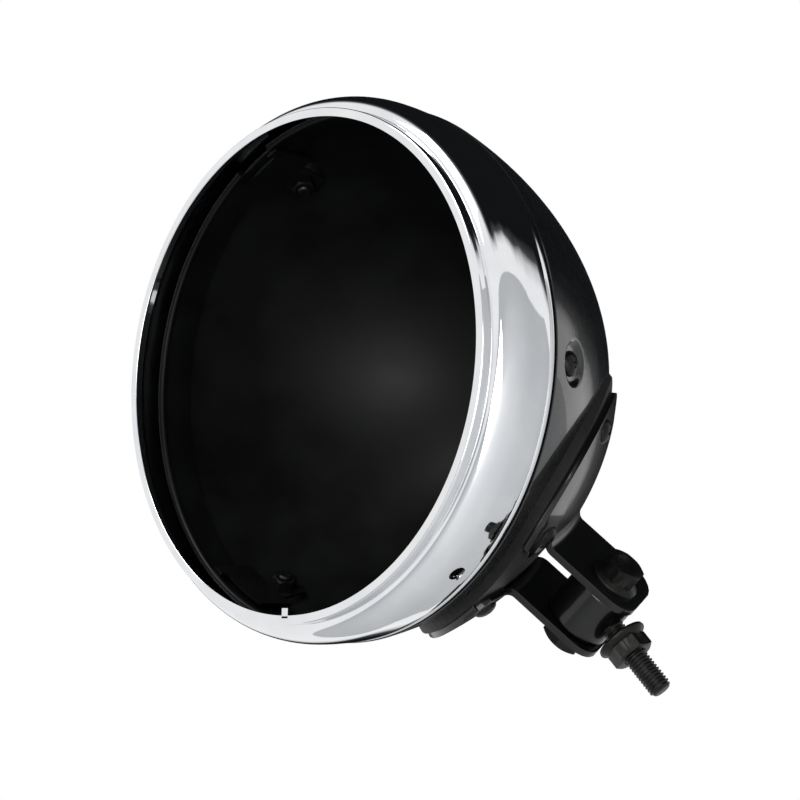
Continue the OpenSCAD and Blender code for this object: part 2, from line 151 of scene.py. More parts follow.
def pad_h(back):
    """Thickness of the pad, which grows thinner toward the back."""
    return PAD_THICK - PAD_TAPER * (back - PAD_FRONT) / PAD_LENGTH


def on_bowl(angle, back):
    """Frame on the bowl's outside: z along the normal, x toward the front."""
    return (
        Matrix.Rotation(-math.radians(angle), 4, "Z")
        @ Matrix.Translation((bowl_r(back), 0, back))
        @ Matrix.Rotation(math.radians(90) - bowl_slope(back), 4, "Y")
    )


# Places in the part: each matrix takes a piece's own millimetres to the part's metres
LAMP = Vector((0, BOLT.y - BOLT_BACK, BOLT.z + bowl_r(BOLT_BACK) + BOLT_DROP))
TO_METRES = Matrix.Scale(MM, 4)
AT_LAMP = TO_METRES @ Matrix.Translation(LAMP)
ON_LAMP = AT_LAMP @ Matrix.Rotation(math.radians(-90), 4, "X")
ON_EARS = TO_METRES @ Matrix.Translation(BOLT) @ Matrix.Rotation(TILT_LEAN, 4, "X")
ON_STEM = TO_METRES @ Matrix.Rotation(STUD_LEAN, 4, "X") @ Matrix.Translation((0, 0, FREE_START))
ALONG_BOLT = Matrix.Rotation(math.radians(90), 4, "Y")


def raised(height):
    return Matrix.Translation((0, 0, height))


def across_ears(x):
    """Frame on the tilt bolt's axis, with z toward the bolt's head."""
    return ON_EARS @ Matrix.Translation((x, 0, 0)) @ ALONG_BOLT


# Finishes


def linear(code):
    """A colour written as sRGB hex, as the linear values that a shader takes."""
    parts = [int(code[i : i + 2], 16) / 255 for i in (1, 3, 5)]
    return [p / 12.92 if p <= 0.04045 else ((p + 0.055) / 1.055) ** 2.4 for p in parts] + [1.0]


def add(tree, kind, settings=None, inputs=None, links=None):
    """Adds one node with its settings, its socket values and its links."""
    node = tree.nodes.new(kind)
    for name, value in (settings or {}).items():
        setattr(node, name, value)
    for name, value in (inputs or {}).items():
        node.inputs[name].default_value = value
    for name, socket in (links or {}).items():
        tree.links.new(socket, node.inputs[name])
    return node


def ramp(tree, factor, stops):
    """A colour ramp whose stops are pairs of a place and a colour."""
    node = add(tree, "ShaderNodeValToRGB", links={"Fac": factor})
    elements = node.color_ramp.elements
    while len(elements) < len(stops):
        elements.new(0.5)
    for element, (place, colour) in zip(elements, stops):
        element.position = place
        element.color = linear(colour)
    return node.outputs["Color"]


def finish(name):
    """A new material with its principled shader, and the object coordinates in metres."""
    material = bpy.data.materials.new(name)
    material.use_nodes = True
    tree = material.node_tree
    tree.nodes.clear()
    shader = add(tree, "ShaderNodeBsdfPrincipled")
    add(tree, "ShaderNodeOutputMaterial", links={"Surface": shader.outputs["BSDF"]})
    coords = add(tree, "ShaderNodeTexCoord").outputs["Object"]
    return material, tree, shader, coords


def noise(tree, coords, size_mm, detail=2.0, stretch=None):
    """Noise whose lumps are about size_mm across."""
    vector = coords
    if stretch:
        mapping = add(tree, "ShaderNodeMapping", inputs={"Scale": stretch}, links={"Vector": coords})
        vector = mapping.outputs["Vector"]
    return add(
        tree,
        "ShaderNodeTexNoise",
        inputs={"Scale": 1000 / size_mm, "Detail": detail, "Roughness": 0.5},
        links={"Vector": vector},
    ).outputs["Fac"]


def bump(tree, height, depth_mm, strength):
    return add(
        tree,
        "ShaderNodeBump",
        inputs={"Distance": depth_mm * MM, "Strength": strength},
        links={"Height": height},
    ).outputs["Normal"]


def spread(tree, factor, low, high):
    """Maps a value from 0..1 to low..high."""
    return add(
        tree,
        "ShaderNodeMapRange",
        inputs={"To Min": low, "To Max": high},
        links={"Value": factor},
    ).outputs["Result"]


def set_shader(shader, **values):
    for name, value in values.items():
        shader.inputs[name.replace("_", " ")].default_value = value


def texture(tree, shader, colour, roughness, normal):
    """Links the three inputs that vary over the surface."""
    for name, socket in (("Base Color", colour), ("Roughness", roughness), ("Normal", normal)):
        tree.links.new(socket, shader.inputs[name])


def chrome_plating():
    """Bright plating with a faint haze and fine polishing lines."""
    material, tree, shader, coords = finish("polished_chrome")
    set_shader(shader, Metallic=1.0)
    haze = noise(tree, coords, size_mm=14, detail=3)
    lines = noise(tree, coords, size_mm=0.9, stretch=(1, 0.08, 1))
    colour = ramp(tree, haze, [(0.3, "#e9eaec"), (0.7, "#dfe1e4")])
    roughness = spread(tree, haze, low=0.03, high=0.07)
    texture(tree, shader, colour, roughness, bump(tree, lines, depth_mm=0.0006, strength=0.5))
    return material


def gloss_paint():
    """Deep black gloss paint whose faint orange peel softens the reflections."""
    material, tree, shader, coords = finish("gloss_black_paint")
    set_shader(shader, Coat_Weight=1.0, Coat_Roughness=0.03, Specular_IOR_Level=0.3)
    tone = noise(tree, coords, size_mm=30, detail=3)
    peel = noise(tree, coords, size_mm=6, detail=1)
    colour = ramp(tree, tone, [(0.3, "#070708"), (0.7, "#0b0b0c")])
    roughness = spread(tree, peel, low=0.22, high=0.32)
    texture(tree, shader, colour, roughness, bump(tree, peel, depth_mm=0.003, strength=0.4))
    return material


def inside_paint():
    """Thinner black paint inside the bowl: less gloss, with a little dust."""
    material, tree, shader, coords = finish("inside_black_paint")
    set_shader(shader, Specular_IOR_Level=0.15)
    dust = noise(tree, coords, size_mm=18, detail=5)
    grain = noise(tree, coords, size_mm=1.2, detail=3)
    colour = ramp(tree, dust, [(0.35, "#060606"), (0.75, "#0d0e0e")])
    roughness = spread(tree, dust, low=0.34, high=0.5)
    texture(tree, shader, colour, roughness, bump(tree, grain, depth_mm=0.01, strength=0.4))
    return material


def bracket_paint():
    """Black powder paint over pressed steel, glossy and a little lumpy."""
    material, tree, shader, coords = finish("black_powder_paint")
    set_shader(shader, Coat_Weight=0.6, Coat_Roughness=0.06, Specular_IOR_Level=0.15)
    tone = noise(tree, coords, size_mm=9, detail=4)
    lumps = noise(tree, coords, size_mm=3)
    colour = ramp(tree, tone, [(0.3, "#070707"), (0.7, "#0c0c0c")])
    roughness = spread(tree, lumps, low=0.26, high=0.4)
    texture(tree, shader, colour, roughness, bump(tree, lumps, depth_mm=0.006, strength=0.5))
    return material


def black_zinc():
    """Dark plated steel of the screws and nuts, with an olive cast and a fine grain."""
    material, tree, shader, coords = finish("dark_plated_steel")
    set_shader(shader, Metallic=0.85)
    tone = noise(tree, coords, size_mm=3.5, detail=4)
    grain = noise(tree, coords, size_mm=0.5, detail=3)
    colour = ramp(tree, tone, [(0.3, "#1a1b1c"), (0.55, "#252624"), (0.8, "#32322a")])
    roughness = spread(tree, tone, low=0.26, high=0.46)
    texture(tree, shader, colour, roughness, bump(tree, grain, depth_mm=0.008, strength=0.5))
    return material


def pad_rubber():
    """Dull black rubber with a fine moulded grain."""
    material, tree, shader, coords = finish("moulded_black_rubber")
    tone = noise(tree, coords, size_mm=6, detail=3)
    grain = noise(tree, coords, size_mm=0.7, detail=4)
    colour = ramp(tree, tone, [(0.3, "#0c0c0d"), (0.7, "#131314")])
    roughness = spread(tree, grain, low=0.5, high=0.68)
    texture(tree, shader, colour, roughness, bump(tree, grain, depth_mm=0.02, strength=0.5))
    return material


CHROME = chrome_plating()
GLOSS = gloss_paint()
INSIDE = inside_paint()
POWDER = bracket_paint()
STEEL = black_zinc()
RUBBER = pad_rubber()


# Ways of making the pieces


def turned(profile, steps, closed=False):
    """A profile of (radius, distance along z) spun about the z axis."""
    bm = bmesh.new()
    points = [bm.verts.new((r, 0, z)) for r, z in profile]
    pairs = list(zip(points, points[1:]))
    if closed:
        pairs.append((points[-1], points[0]))
    edges = [bm.edges.new(pair) for pair in pairs]
    bmesh.ops.spin(
        bm,
        geom=points + edges,
        cent=(0, 0, 0),
        axis=(0, 0, 1),
        angle=2 * math.pi,
        steps=steps,
        use_merge=True,
    )
    bmesh.ops.remove_doubles(bm, verts=bm.verts, dist=0.0005)
    bmesh.ops.delete(bm, geom=[e for e in bm.edges if not e.link_faces], context="EDGES")
    bmesh.ops.recalc_face_normals(bm, faces=bm.faces)
    return bm


def bow(cx, cy, rx, ry, start, stop, count):
    """Points of an arc, with angles in degrees."""
    turns = [math.radians(start + (stop - start) * i / count) for i in range(count + 1)]
    return [(cx + rx * math.cos(t), cy + ry * math.sin(t)) for t in turns]


def soften(bm, width, limit=35, segments=2):
    """Bevels the edges that are sharper than the limit."""
    folds = [e for e in bm.edges if len(e.link_faces) == 2]
    sharp = [e for e in folds if e.calc_face_angle(0) > math.radians(limit)]
    bmesh.ops.bevel(
        bm,
        geom=sharp,
        offset=width,
        offset_type="OFFSET",
        affect="EDGES",
        segments=segments,
        profile=0.5,
        material=-1,
        clamp_overlap=True,
    )
    return bm


def piece(name, bm, place, body, material, nodes, smooth=38):
    """Turns a bmesh into a piece that rides on a body and stands for CAD nodes."""
    bmesh.ops.transform(bm, matrix=place, verts=bm.verts)
    mesh = bpy.data.meshes.new(name)
    bm.to_mesh(mesh)
    bm.free()
    for one in material if isinstance(material, list) else [material]:
        mesh.materials.append(one)
    mesh.shade_smooth()
    mesh.set_sharp_from_angle(angle=math.radians(smooth))
    made = bpy.data.objects.new(name, mesh)
    bpy.context.scene.collection.objects.link(made)
    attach(made, body)
    if nodes:
        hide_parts(*nodes)
    return made


def border(bm):
    """The edges with one face only."""
    return [e for e in bm.edges if len(e.link_faces) == 1]


def open_skin(bm, middle, outward, reach, inside):
    """Deletes one skin's faces around a place and gives the edges left round the gap."""
    before = set(border(bm))
    near = [f for f in bm.faces if (f.calc_center_median() - middle).length < reach]
    gone = [f for f in near if (f.normal.dot(outward) < 0) == inside]
    bmesh.ops.delete(bm, geom=gone, context="FACES")
    return [e for e in border(bm) if e not in before]


def open_edges(verts):
    """The edges along a circle that still have a free side."""
    ends = set(verts)
    free = dict.fromkeys(e for v in verts for e in v.link_edges if len(e.link_faces) < 2)
    return [e for e in free if all(v in ends for v in e.verts)]


def fill_round(bm, gap, circle, outward):
    """Fills the skin between a gap's edges and a circle inside it."""
    edges = gap + open_edges(circle)
    bmesh.ops.triangle_fill(bm, use_beauty=True, use_dissolve=False, edges=edges, normal=outward)
    return open_edges(circle)


def drill(bm, angle, back, radius, layers, reach):
    """Hole through a turned wall, along the radius, between two layers given by their radii."""
    turn = Matrix.Rotation(-math.radians(angle), 4, "Z")
    outward = turn.col[0].to_3d()
    rims = []
    for layer, inside in zip(layers, (False, True)):
        gap = open_skin(bm, turn @ Vector((layer, 0, back)), outward, reach, inside)
        circle = bmesh.ops.create_circle(bm, segments=32, radius=radius)["verts"]
        for v in circle:
            v.co = turn @ Vector((math.sqrt(layer**2 - v.co.y**2), v.co.y, back + v.co.x))
        rims += fill_round(bm, gap, circle, outward)
    bmesh.ops.bridge_loops(bm, edges=rims)
    bmesh.ops.recalc_face_normals(bm, faces=bm.faces)


def notch(bm, angle, half, back):
    """Takes a stretch of the rim away ahead of a distance back and closes the cut."""
    low, high = math.radians(-angle - half), math.radians(-angle + half)

    def turn_of(point):
        turn = math.atan2(point.y, point.x)
        return turn + 2 * math.pi if turn < low - 1 else turn

    ahead = [f for f in bm.faces if f.calc_center_median().z < back]
    gone = [f for f in ahead if low < turn_of(f.calc_center_median()) < high]
    bmesh.ops.delete(bm, geom=gone, context="FACES")
    floor = [e for e in border(bm) if all(abs(v.co.z - back) < CLOSE for v in e.verts)]
    bmesh.ops.bridge_loops(bm, edges=floor)
    bmesh.ops.edgeloop_fill(bm, edges=border(bm))


# Trim ring: flat face, step, swept skirt and rolled hem


def trim_ring():
    lip = 0.35
    corner = 0.8
    fillet = 0.32
    step_back = 3.9 - lip
    groove = RING_LENGTH - HEM_DEPTH
    inner_step = STEP_RADIUS - RING_SHEET
    # How far the skirt turns in from the full radius, and how far back
    sweep = [(0.02, 16.5), (0.08, 18), (0.2, 20), (0.4, 22.5)]
    sweep += [(0.62, groove - 0.5), (0.74, groove - 0.1), (0.78, groove + 0.1)]
    profile = (
        bow(OPENING + lip, lip, lip, lip, 180, 270, 4)
        + bow(STEP_RADIUS - corner, corner, corner, corner, -90, 0, 8)
        + bow(STEP_RADIUS + STEP_WIDTH * 0.05, step_back, fillet, fillet, 180, 92, 4)
        + bow(STEP_RADIUS, SKIRT_START, STEP_WIDTH, SKIRT_SWEEP, -84, 0, 30)
        + [(RING_RADIUS - turned_in, back) for turned_in, back in sweep]
        + bow(RING_RADIUS - 1.5, RING_LENGTH - 1.25, 0.75, 1.2, -60, 90, 12)
        + [(RIM_RADIUS + 0.4, RING_LENGTH)]
        + [(RIM_RADIUS, RING_LENGTH - lip), (RIM_RADIUS, groove), (RIM_RADIUS + 1.2, groove - 0.5)]
        + [(RING_RADIUS - 1.1, 19)]
        + bow(STEP_RADIUS, SKIRT_START, STEP_WIDTH - RING_SHEET, SKIRT_SWEEP - RING_SHEET, 0, -90, 14)
        + [(inner_step, 4.6), (inner_step, RING_SHEET), (OPENING, RING_SHEET)]
    )
    bm = turned(profile, steps=256, closed=True)
    walls = (RING_RADIUS - 0.1, RING_RADIUS - 1.1)
    drill(bm, angle=-90, back=17.9, radius=2.9, layers=walls, reach=4.4)
    lug = bmesh.ops.create_cube(bm, size=1)["verts"]
    size = Matrix.Diagonal((3.4, 3, RING_SHEET, 1))
    place = Matrix.Rotation(math.radians(131), 4, "Z")
    place = place @ Matrix.Translation((OPENING - 0.7, 0, RING_SHEET / 2))
    bmesh.ops.transform(bm, matrix=place @ size, verts=lug)
    piece("trim_ring_shell", bm, ON_LAMP, "lamp_head", CHROME, ["trim_ring"], 40)


# Bowl: a turned shell with a rolled bead, clip dimples and the wire hole


def shell(radius, axis, start, steps=64):
    """Points of the ellipse from its edge, at a distance back, to its pole."""
    first = math.degrees(math.asin((start + BOWL_AHEAD) / axis))
    turns = [math.radians(first + (90 - first) * i / steps) for i in range(steps)]
    points = [(radius * math.cos(t), axis * math.sin(t) - BOWL_AHEAD) for t in turns]
    return points + [(0, axis - BOWL_AHEAD)]


def bowl_profile():
    rim_back = RING_LENGTH + RIM_GAP
    rim_in = RIM_RADIUS - SHEET
    rows = [CUT_BACK, TAB_BACK, RIM_TURN]
    return (
        shell(BOWL_RADIUS, BOWL_AXIS, rim_back + 0.5)
        + shell(BOWL_RADIUS - SHEET, BOWL_AXIS - SHEET, rim_back + SHEET)[::-1]
        + [(rim_in, rim_back + SHEET)]
        + [(rim_in, back) for back in rows[::-1]]
        + bow(RIM_RADIUS - BEAD, BEAD_FRONT + BEAD, BEAD, BEAD, 80, 360, 14)
        + [(RIM_RADIUS, back) for back in rows]
        + [(RIM_RADIUS, rim_back), (bowl_r(rim_back) - 1.2, rim_back)]
        + [(bowl_r(rim_back) - 0.3, rim_back + 0.15)]
    )


def off_axis(spot):
    return math.hypot(spot.x, spot.y)


def press_place(bm, angle, back, start, stop, depth):
    """Presses a round flat place into both skins, from a start radius in to a stop radius."""
    place = on_bowl(angle, back)
    back_in = place.inverted()
    margin = 3.5
    inner_lead = 0.9
    near = [f for f in bm.faces if (f.calc_center_median() - place.translation).length < start + margin]
    edges = list(dict.fromkeys(e for f in near for e in f.edges))
    bmesh.ops.subdivide_edges(bm, edges=edges, cuts=3, use_grid_fill=True)
    for v in bm.verts:
        spot = back_in @ v.co
        if abs(spot.z) > SKIN_REACH:
            continue
        inner = off_axis(v.co) < bowl_r(v.co.z) - SHEET / 2
        from_edge = start - off_axis(spot) + (inner_lead if inner else 0)
        share = min(1.0, max(0.0, from_edge / (start - stop)))
        share = share * share * (3 - 2 * share)
        spot.z += (-depth - (SHEET if inner else 0) - spot.z) * share
        v.co = place @ spot
    return back_in


def bowl():
    bm = turned(bowl_profile(), steps=240, closed=True)
    for angle, _ in CLIPS:
        press_place(bm, angle, CLIP_BACK, start=7.9, stop=5.9, depth=DIMPLE_DEPTH)
    back_in = press_place(bm, -90, GROMMET_BACK, start=12.4, stop=10.8, depth=2.6)
    hole_r = 8.3
    centres = [(f, back_in @ f.calc_center_median()) for f in bm.faces]
    hole = [f for f, spot in centres if abs(spot.z) < SKIN_REACH and off_axis(spot) < hole_r]
    bmesh.ops.delete(bm, geom=hole, context="FACES")
    bmesh.ops.bridge_loops(bm, edges=border(bm))
    notch(bm, angle=75.75, half=5.25, back=CUT_BACK)
    notch(bm, angle=-90, half=4.5, back=TAB_BACK)
    bmesh.ops.recalc_face_normals(bm, faces=bm.faces)
    for f in bm.faces:
        spot = f.calc_center_median()
        inner = f.normal.dot(Vector((spot.x, spot.y, 0.8 * (spot.z + BOWL_AHEAD)))) < 0
        on_rim = spot.z < RIM_TURN and off_axis(spot) < RIM_RADIUS + 0.2
        f.material_index = 1 if inner or on_rim else 0
    piece("bowl_shell", bm, ON_LAMP, "lamp_head", [GLOSS, INSIDE], ["bowl"], 40)


# Brackets: sheet steel formed over the pad and bent down into an ear


def wing_r(back):
    """Radius of the wing's outside, which lies on the pad."""
    return bowl_r(back) + pad_h(back) + PLATE


def to_lamp(x, along, up):
    """A point of the ear's frame, as (x, distance back, height) in the lamp's frame."""
    c, s = math.cos(TILT_LEAN), math.sin(TILT_LEAN)
    y = BOLT.y + along * c - up * s
    z = BOLT.z + along * s + up * c
    return Vector((x, y - LAMP.y, z - LAMP.z))


def wing_top(x, along):
    """Height in the ear's frame at which its line meets the wing's outside."""
    low, high = -5.0, 60.0
    for _ in range(50):
        mid = (low + high) / 2
        p = to_lamp(x, along, mid)
        if math.hypot(p.x, p.z) > wing_r(p.y):
            low = mid
        else:
            high = mid
    return (low + high) / 2


def leg(radius, offset):
    """Height of a circle's point at an offset from its middle."""
    return math.sqrt(max(0.0, radius**2 - offset**2))


def ear_foot(along):
    """Lowest height of the ear's rounded end at a place along it."""
    front = EAR_FRONT + EAR_FRONT_ROUND
    rear = EAR_REAR - EAR_REAR_ROUND
    if along < front:
        return EAR_LOW + EAR_FRONT_ROUND - leg(EAR_FRONT_ROUND, front - along)
    if along > rear:
        return EAR_LOW + EAR_REAR_ROUND - leg(EAR_REAR_ROUND, along - rear)
    return EAR_LOW


def wing_edge(back):
    """Distance of the wing's round outline from the middle of the lamp."""
    arm = WING_RADIUS - WING_CORNER
    corner_back = WING_END - WING_CORNER
    tip = math.asin((corner_back - WING_BACK) / arm)
    if back > corner_back + WING_CORNER * math.sin(tip):
        return WING_X + arm * math.cos(tip) + leg(WING_CORNER, back - corner_back)
    return WING_X + leg(WING_RADIUS, back - WING_BACK)


def wing_inner(back):
    """Distance of the wing's inner edge, with its rounded front corner."""
    if back < NOSE_BACK:
        arc = WING_X - leg(WING_RADIUS, back - WING_BACK)
        return max(arc, WING_INSIDE + NOSE_ROUND - leg(NOSE_ROUND, NOSE_BACK - back))
    return WING_INSIDE


def bracket(side, word):
    """Each column runs from the ear's foot to the wing's edge, given by where it lies back."""
    bend_x = EAR_OUT + BEND
    ear_lines = [-13.0, -12.4, -11.4, -10, -8.2, -6, -2, 2, 6, 9, 12, 14.5, 16.4, 17.7, 18.5, 18.8]
    ear_lines = [EAR_FRONT] + ear_lines + [EAR_REAR]
    start = to_lamp(bend_x, EAR_FRONT, wing_top(bend_x, EAR_FRONT)).y
    stop = to_lamp(bend_x, EAR_REAR, wing_top(bend_x, EAR_REAR)).y
    cut = start - 2.5
    columns = []
    for turn in (3, 5, 8, 12, 16, 20, 24, 29, 34, 40, 46, 52):
        back = WING_BACK - WING_RADIUS * math.cos(math.radians(turn))
        if back < start - 3:
            columns.append((back, wing_inner(back), None))
    columns += [(cut - 0.1, WING_INSIDE, None)]
    columns += [(cut, bend_x + RELIEF, None), (start - 0.2, bend_x + RELIEF, None)]
    columns += [(None, bend_x, line) for line in ear_lines]
    columns += [(back, bend_x, None) for back in (stop + 0.1, stop + 1.2, WING_END)]
    wing_rows, bend_rows, ear_rows = 26, 8, 7
    rows = wing_rows + bend_rows + ear_rows
    bm = bmesh.new()
    bmesh.ops.create_grid(bm, x_segments=len(columns) - 1, y_segments=rows, size=1)
    unused = []
    for index, v in enumerate(bm.verts):
        row, column = divmod(index, len(columns))
        back, inner, line = columns[column]
        if line is not None:
            back = to_lamp(bend_x, line, wing_top(bend_x, line)).y
        if row >= ear_rows + bend_rows:
            share = (row - ear_rows - bend_rows) / wing_rows
            share = share if share < 0.5 else 1 - 2 * (1 - share) ** 2
            x = inner + (wing_edge(back) - inner) * share
            v.co = (side * x, back, -leg(wing_r(back), x))
            continue
        if line is None:
            unused.append(v)
            continue
        if row >= ear_rows:
            turn = math.radians(90 * (row - ear_rows) / bend_rows)
            x = EAR_OUT + BEND * (1 - math.cos(turn))
            p = to_lamp(x, line, wing_top(x, line) - BEND * (1 - math.sin(turn)))
        else:
            low = ear_foot(line)
            high = wing_top(EAR_OUT, line) - BEND
            p = to_lamp(EAR_OUT, line, low + (high - low) * row / ear_rows)
        v.co = (side * p.x, p.y, p.z)
    bmesh.ops.delete(bm, geom=unused, context="VERTS")
    bmesh.ops.recalc_face_normals(bm, faces=bm.faces)
    lowest = min(bm.faces, key=lambda f: f.calc_center_median().z)
    if lowest.normal.x * side < 0:
        bmesh.ops.reverse_faces(bm, faces=bm.faces)
    name = f"bracket_{word}"
    made = piece(f"{name}_sheet", bm, AT_LAMP, "lamp_head", POWDER, [name], 60)
    solid = made.modifiers.new("thickness", "SOLIDIFY")
    solid.thickness = PLATE * MM
    solid.offset = -1
    solid.use_even_offset = True
    edge = made.modifiers.new("rounded_edges", "BEVEL")
    edge.width = 0.35 * MM
    edge.segments = 2
    edge.limit_method = "ANGLE"
    edge.angle_limit = math.radians(50)


# Screws, nuts and washers


def cross_outline(turn, half_width, length):
    """Radius of a cross-shaped recess at an angle."""
    turn = abs((turn + math.pi / 4) % (math.pi / 2) - math.pi / 4)
    arm = length / math.cos(turn)
    flank = half_width / max(1e-6, math.sin(turn))
    return min(arm, max(flank, half_width / math.sin(math.pi / 4)))


def screw(length, d=5.0, head=8.6, height=2.4):
    """Round-headed screw with a cross recess, its head standing on z = 0."""
    tip = 0.6
    mouth_r, floor_r = 1.0, 0.9
    dome = [(r, max(z, 0.5)) for r, z in bow(0, 0, head / 2, height, 12, 68, 12)]
    profile = (
        [(0, -length), (d / 2 - tip, -length), (d / 2, -length + tip), (d / 2, -0.02)]
        + [(head / 2 - 0.15, 0), (head / 2, 0.15)]
        + dome
        + [(mouth_r, height * 0.99), (floor_r, height - 1.5), (0, height - 1.9)]
    )
    bm = turned(profile, steps=64)
    for v in bm.verts:
        turn = math.atan2(v.co.y, v.co.x)
        if v.co.z > 0 and abs(off_axis(v.co) - mouth_r) < CLOSE:
            wider = cross_outline(turn, half_width=0.55, length=2.2) / mouth_r
        elif v.co.z > 0 and abs(off_axis(v.co) - floor_r) < CLOSE:
            wider = cross_outline(turn, half_width=0.4, length=1.5) / floor_r
        else:
            continue
        v.co.x *= wider
        v.co.y *= wider
        if v.co.z > height - 1:
            v.co.z = height * math.sqrt(1 - min(off_axis(v.co) / (head / 2), 1) ** 2)
    return bm


def hexagonal(bm, flats, top, low=None):
    """Draws a turned side into a hexagon and chamfers its corners at the top and the low end."""
    for v in bm.verts:
        radius = off_axis(v.co)
        if abs(radius - flats / 2) > CLOSE:
            continue
        turn = math.atan2(v.co.y, v.co.x)
        part = (turn + math.pi / 6) % (math.pi / 3) - math.pi / 6
        wide = flats / 2 / math.cos(part)
        v.co.x *= wide / radius
        v.co.y *= wide / radius
        cut = (wide - flats / 2 * 0.97) * math.tan(math.radians(30))
        if abs(v.co.z - top) < CLOSE:
            v.co.z -= cut
        elif low is not None and abs(v.co.z - low) < CLOSE:
            v.co.z += cut
    return bm


def nut(flats, height, bore):
    """Hexagonal nut with chamfered corners and a countersunk bore."""
    r = flats / 2
    top = height + 0.02
    profile = [(bore / 2, 0.5), (bore / 2 + 0.4, 0), (r * 0.95, 0), (r, 0)]
    profile += [(r, height), (r * 0.95, top), (bore / 2 + 0.4, top), (bore / 2, height - 0.5)]
    return hexagonal(turned(profile, steps=72, closed=True), flats, height, low=0)


def flanged_hex(height, bore=0.0, flats=13.0, flange=17.9):
    """Hexagon with a sloped round flange, standing on z = 0."""
    r = flats / 2
    top = height + 0.01
    profile = (
        [(flange / 2 - 0.2, 0)]
        + bow(flange / 2 - 0.55, 0.75, 0.55, 0.65, -70, 60, 8)
        + [(r + 0.55, 2.5), (r + 0.1, 2.75), (r, 2.8), (r, height), (r * 0.94, top)]
    )
    if bore:
        profile += [(bore / 2 + 0.5, top), (bore / 2, height - 0.5), (bore / 2, 0)]
    else:
        profile += [(r * 0.62, top), (r * 0.55, height - 0.25), (0, height - 0.4)]
        profile.insert(0, (0, 0))
    return hexagonal(turned(profile, steps=72, closed=bool(bore)), flats, height)


def washer(d, height, bore):
    section = [(bore / 2, 0), (d / 2, 0), (d / 2, height), (bore / 2, height)]
    return soften(turned(section, steps=72, closed=True), 0.15)


def threaded(d, length, pitch=1.25, depth=0.7):
    """Threaded rod from z = -length to z = 0, with a chamfered lower end."""
    bm = bmesh.new()
    root, crest = d / 2 - depth, d / 2
    tooth = [(root, 0), (root, 0.14), (crest, 0.56), (crest, 0.7), (root, 1.12), (root, pitch)]
    points = [bm.verts.new((r, 0, z - length - pitch)) for r, z in tooth]
    edges = [bm.edges.new(pair) for pair in zip(points, points[1:])]
    turns = int(length / pitch) + 2
    around = 40
    bmesh.ops.spin(
        bm,
        geom=points + edges,
        cent=(0, 0, 0),
        axis=(0, 0, 1),
        dvec=(0, 0, pitch / around),
        angle=2 * math.pi * turns,
        steps=around * turns,
    )
    bmesh.ops.remove_doubles(bm, verts=bm.verts, dist=CLOSE)
    for height, side in ((-length, -1), (0, 1)):
        bmesh.ops.bisect_plane(
            bm,
            geom=list(bm.verts) + list(bm.edges) + list(bm.faces),
            plane_co=(0, 0, height),
            plane_no=(0, 0, side),
            clear_outer=True,
        )
        bmesh.ops.edgeloop_fill(bm, edges=border(bm))
    for v in bm.verts:
        radius = off_axis(v.co)
        limit = d / 2 - 1.0 + (v.co.z + length)
        if radius > limit > 0:
            v.co.x *= limit / radius
            v.co.y *= limit / radius
    bmesh.ops.recalc_face_normals(bm, faces=bm.faces)
    return bm


def shank(d, length):
    """Plain rod from z = -length to just inside the head, with a chamfered end."""
    tip = 0.6
    r = d / 2
    profile = [(0, -length), (r - tip, -length), (r, -length + tip), (r, 0.02), (0, 0.02)]
    return turned(profile, steps=64)


def knuckle_body():
    """Round body across the ears, with rounded rims and a plain bore."""
    bore_r = 4.05
    corner = (KNUCKLE_EDGE, KNUCKLE_EDGE)
    middle_r = KNUCKLE_R - KNUCKLE_EDGE
    middle_z = KNUCKLE_HALF - KNUCKLE_EDGE
    profile = (
        [(bore_r, -KNUCKLE_HALF)]
        + bow(middle_r, -middle_z, *corner, -90, 0, 8)
        + bow(middle_r, middle_z, *corner, 0, 90, 8)
        + [(bore_r, KNUCKLE_HALF)]
    )
    return turned(profile, steps=128, closed=True)


# Put the pieces together


def steel(name, bm, place, nodes, body="lamp_head", smooth=38):
    piece(name, bm, place, body, STEEL, nodes, smooth)


trim_ring()
bowl()
for side, word in ((1, "right"), (-1, "left")):
    bracket(side, word)

# The bracket screws, each with its place across and back and the turn of its cross
for side, word in ((1, "right"), (-1, "left")):
    for kind, x, back, cross in (("tip", 48.4, 65.5, 20), ("inner", 18, 46, 55)):
        angle = -90 + side * math.degrees(math.asin(x / wing_r(back)))
        spot = ON_LAMP @ on_bowl(angle, back)
        seat = (pad_h(back) + PLATE) * math.cos(bowl_slope(back)) - SEAT_SINK
        turn = Matrix.Rotation(math.radians(cross) * side, 4, "Z")
        length = seat + SHEET + SCREW_NUT_H + SCREW_PAST_NUT
        over = spot @ raised(seat) @ turn
        steel(f"{kind}_screw_{word}_head", screw(length), over, [f"{kind}_screw_{word}"])
        under = spot @ raised(NUT_LIFT - SHEET - SCREW_NUT_H)
        hexagon = nut(SCREW_NUT_FLATS, SCREW_NUT_H, SCREW_NUT_BORE)
        steel(f"{kind}_nut_{word}_hex", hexagon, under, [f"{kind}_nut_{word}"])

# The clip screws, which stand in the dimples
for angle, word in CLIPS:
    spot = ON_LAMP @ on_bowl(angle, CLIP_BACK) @ raised(-DIMPLE_DEPTH)
    length = SHEET + CLIP_SHEET + SCREW_NUT_H + SCREW_PAST_NUT
    steel(f"clip_screw_{word}_head", screw(length), spot, [f"clip_screw_{word}"])
    under = spot @ raised(-SHEET - CLIP_SHEET - SCREW_NUT_H)
    hexagon = nut(SCREW_NUT_FLATS, SCREW_NUT_H, SCREW_NUT_BORE)
    steel(f"clip_nut_{word}_hex", hexagon, under, [f"clip_nut_{word}"])

